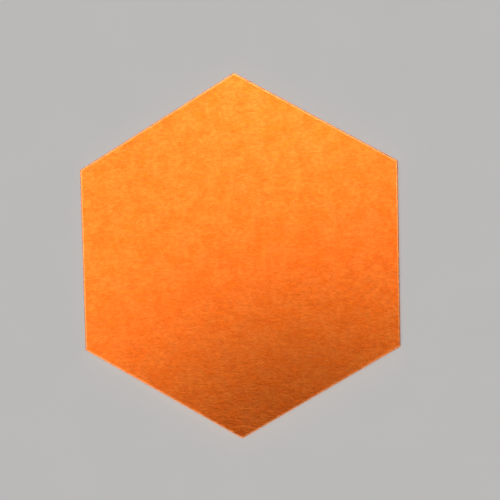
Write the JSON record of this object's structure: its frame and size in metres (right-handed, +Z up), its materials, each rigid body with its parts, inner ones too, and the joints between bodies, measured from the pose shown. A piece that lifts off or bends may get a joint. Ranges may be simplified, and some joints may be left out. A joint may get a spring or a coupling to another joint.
{
  "type": "practice pad",
  "caption": "Slim hexagonal practice pad: felt striking face on a rubber rebound sheet, a stiff board and a ribbed non-slip base.",
  "frame": {"origin": "middle of the underside, on the surface that the pad rests on", "axes": "+Z up out of the felt face, +Y towards one corner of the hexagon, +X towards the middle of one side"},
  "size_m": [0.2642, 0.305, 0.0093],
  "materials": {
    "orange_felt": "needle-punched polyester felt, matt, with fine pale fibres on the surface",
    "adhesive_film": "clear amber double-sided film, seen only as a hairline at the cut edge",
    "gum_rubber": "tan natural rubber, dull knife-cut edge",
    "hardboard": "dense brown fibreboard, lightly sanded edge",
    "grip_rubber": "black moulded rubber, matt, fine straight ribs"
  },
  "bodies": {
    "root": {"felt_face": "orange_felt", "face_adhesive": "adhesive_film", "rebound_sheet": "gum_rubber", "core_adhesive": "adhesive_film", "core_board": "hardboard", "base_adhesive": "adhesive_film", "non_slip_base": "grip_rubber"}
  },
  "joints": []
}
